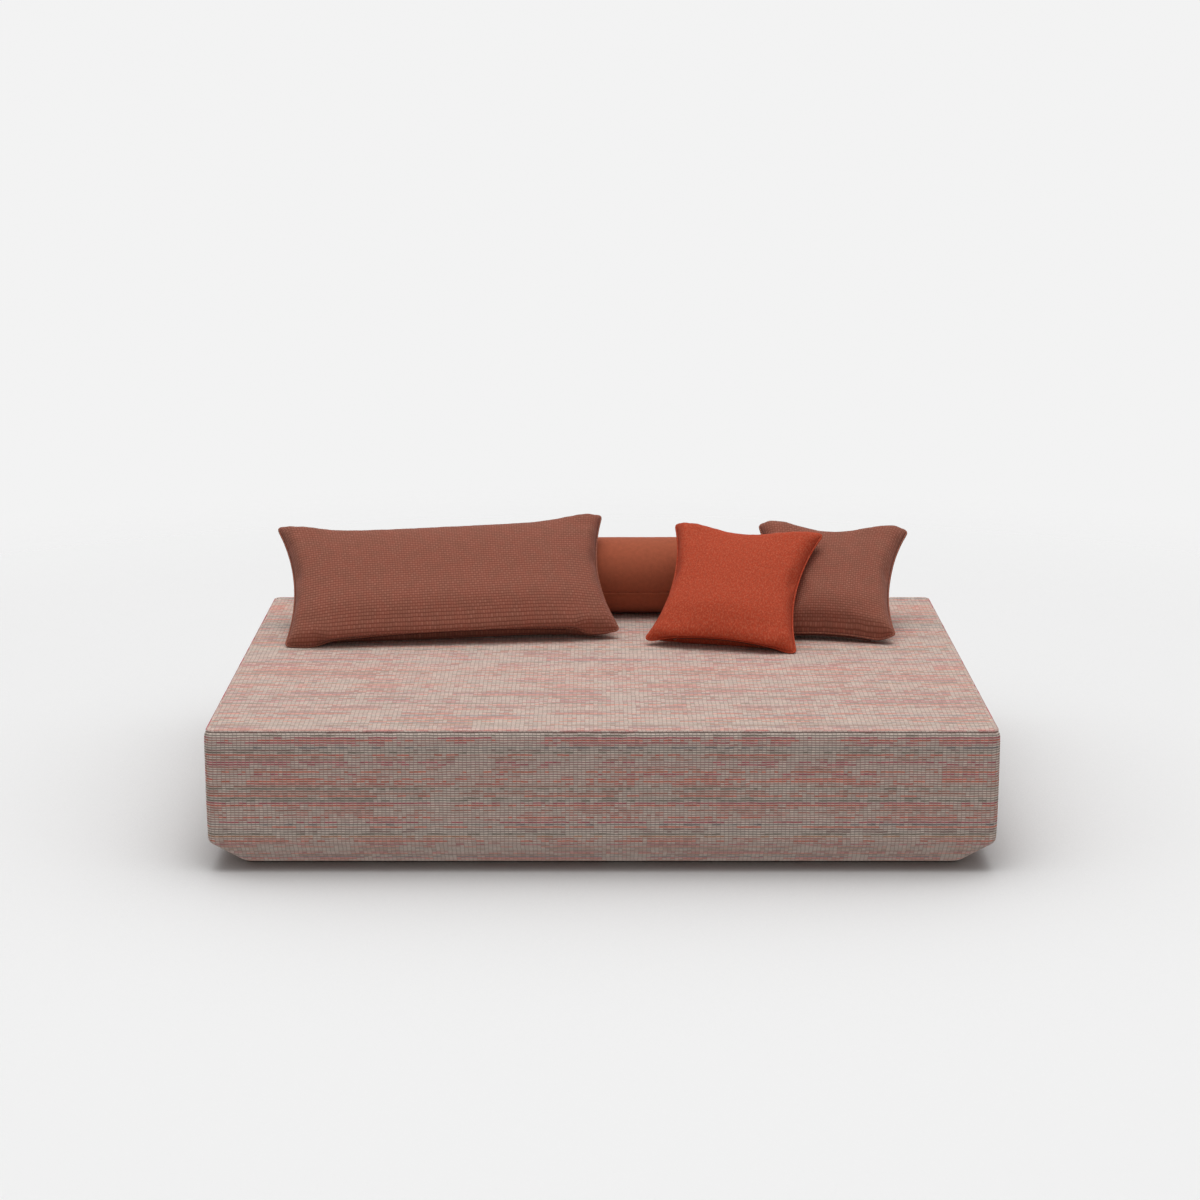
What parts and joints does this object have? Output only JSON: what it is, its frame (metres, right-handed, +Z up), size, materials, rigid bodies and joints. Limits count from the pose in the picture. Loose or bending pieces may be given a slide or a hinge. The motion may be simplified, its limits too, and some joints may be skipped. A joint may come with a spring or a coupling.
{
  "type": "pouf",
  "caption": "Large low rectangular pouf with a bevelled base and a woven cover, carrying loose cushions that lean on a round bolster.",
  "frame": {"origin": "on the floor under the middle of the pouf", "axes": "+Z up, +X along the length to the right, the front faces -Y"},
  "size_m": [2.1562, 1.6562, 0.7235],
  "materials": {
    "pouf_cloth": "matte",
    "woven_cloth": "matte",
    "felt_cloth": "matte",
    "bolster_cloth": "matte",
    "frame_wood": "satin",
    "foam": "matte",
    "wadding": "matte",
    "dust_cloth": "matte",
    "tape": "matte",
    "zip_tape": "matte",
    "slider_metal": "satin",
    "glide_plastic": "matte",
    "steel": "satin"
  },
  "bodies": {
    "pouf": {"corner_blocks": "frame_wood", "cover_front_panel": "pouf_cloth", "cover_left_panel": "pouf_cloth", "cover_rear_panel": "pouf_cloth", "cover_right_panel": "pouf_cloth", "cover_top_panel": "pouf_cloth", "cover_welt": "pouf_cloth", "cross_beam_left": "frame_wood", "cross_beam_middle": "frame_wood", "cross_beam_right": "frame_wood", "deck_board_left": "frame_wood", "deck_board_right": "frame_wood", "dust_cover": "dust_cloth", "foam_core": "foam", "foam_topper": "foam", "frame_screws": "steel", "front_bevel_rail": "frame_wood", "front_rail": "frame_wood", "front_side_pad": "foam", "glide_screws": "steel", "glides": "glide_plastic", "hook_strips": "tape", "left_bevel_rail": "frame_wood", "left_rail": "frame_wood", "left_side_pad": "foam", "loop_strips": "tape", "rear_bevel_rail": "frame_wood", "rear_rail": "frame_wood", "rear_side_pad": "foam", "right_bevel_rail": "frame_wood", "right_rail": "frame_wood", "right_side_pad": "foam", "wadding": "wadding"},
    "long_cushion": {"long_cushion_front": "woven_cloth", "long_cushion_back": "woven_cloth", "long_cushion_welt": "woven_cloth", "long_cushion_filling": "foam", "long_cushion_zip": "zip_tape"},
    "long_cushion_slider": {"long_cushion_zip_slider": "slider_metal"},
    "felt_cushion": {"felt_cushion_front": "felt_cloth", "felt_cushion_back": "felt_cloth", "felt_cushion_welt": "felt_cloth", "felt_cushion_filling": "foam", "felt_cushion_zip": "zip_tape"},
    "felt_cushion_slider": {"felt_cushion_zip_slider": "slider_metal"},
    "woven_cushion": {"woven_cushion_front": "woven_cloth", "woven_cushion_back": "woven_cloth", "woven_cushion_welt": "woven_cloth", "woven_cushion_filling": "foam", "woven_cushion_zip": "zip_tape"},
    "woven_cushion_slider": {"woven_cushion_zip_slider": "slider_metal"},
    "bolster": {"bolster_sleeve": "bolster_cloth", "bolster_left_end": "bolster_cloth", "bolster_right_end": "bolster_cloth", "bolster_welts": "bolster_cloth", "bolster_core": "foam", "bolster_zip": "zip_tape"},
    "bolster_slider": {"bolster_zip_slider": "slider_metal"}
  },
  "joints": [
    {"name": "long_cushion_lift", "type": "slide", "parent": "pouf", "child": "long_cushion", "axis": [0.0552, -0.6444, 0.7627], "range_m": [0, 0.4]},
    {"name": "felt_cushion_lift", "type": "slide", "parent": "pouf", "child": "felt_cushion", "axis": [-0.135, -0.6353, 0.7604], "range_m": [0, 0.4]},
    {"name": "woven_cushion_draw", "type": "slide", "parent": "pouf", "child": "woven_cushion", "axis": [0.9874, -0.158, 0], "range_m": [0, 0.3]},
    {"name": "bolster_lift", "type": "slide", "parent": "pouf", "child": "bolster", "axis": [0, 0.866, 0.5], "range_m": [0, 0.35]},
    {"name": "long_cushion_zip_run", "type": "hinge", "parent": "long_cushion", "child": "long_cushion_slider", "pos_m": [-0.01308, -3.0075, -2.3098], "axis": [-0.0552, 0.6444, -0.7627], "range_deg": [0, 9.27]},
    {"name": "felt_cushion_zip_run", "type": "hinge", "parent": "felt_cushion", "child": "felt_cushion_slider", "pos_m": [0.18035, -0.50831, -0.1268], "axis": [0.135, 0.6353, -0.7604], "range_deg": [0, 19.37]},
    {"name": "woven_cushion_zip_run", "type": "hinge", "parent": "woven_cushion", "child": "woven_cushion_slider", "pos_m": [0.56552, -0.45176, -0.11444], "axis": [0.0946, 0.618, -0.7804], "range_deg": [0, 19.37]},
    {"name": "bolster_zip_run", "type": "slide", "parent": "bolster", "child": "bolster_slider", "axis": [1, 0, 0], "range_m": [0, 0.69]}
  ]
}
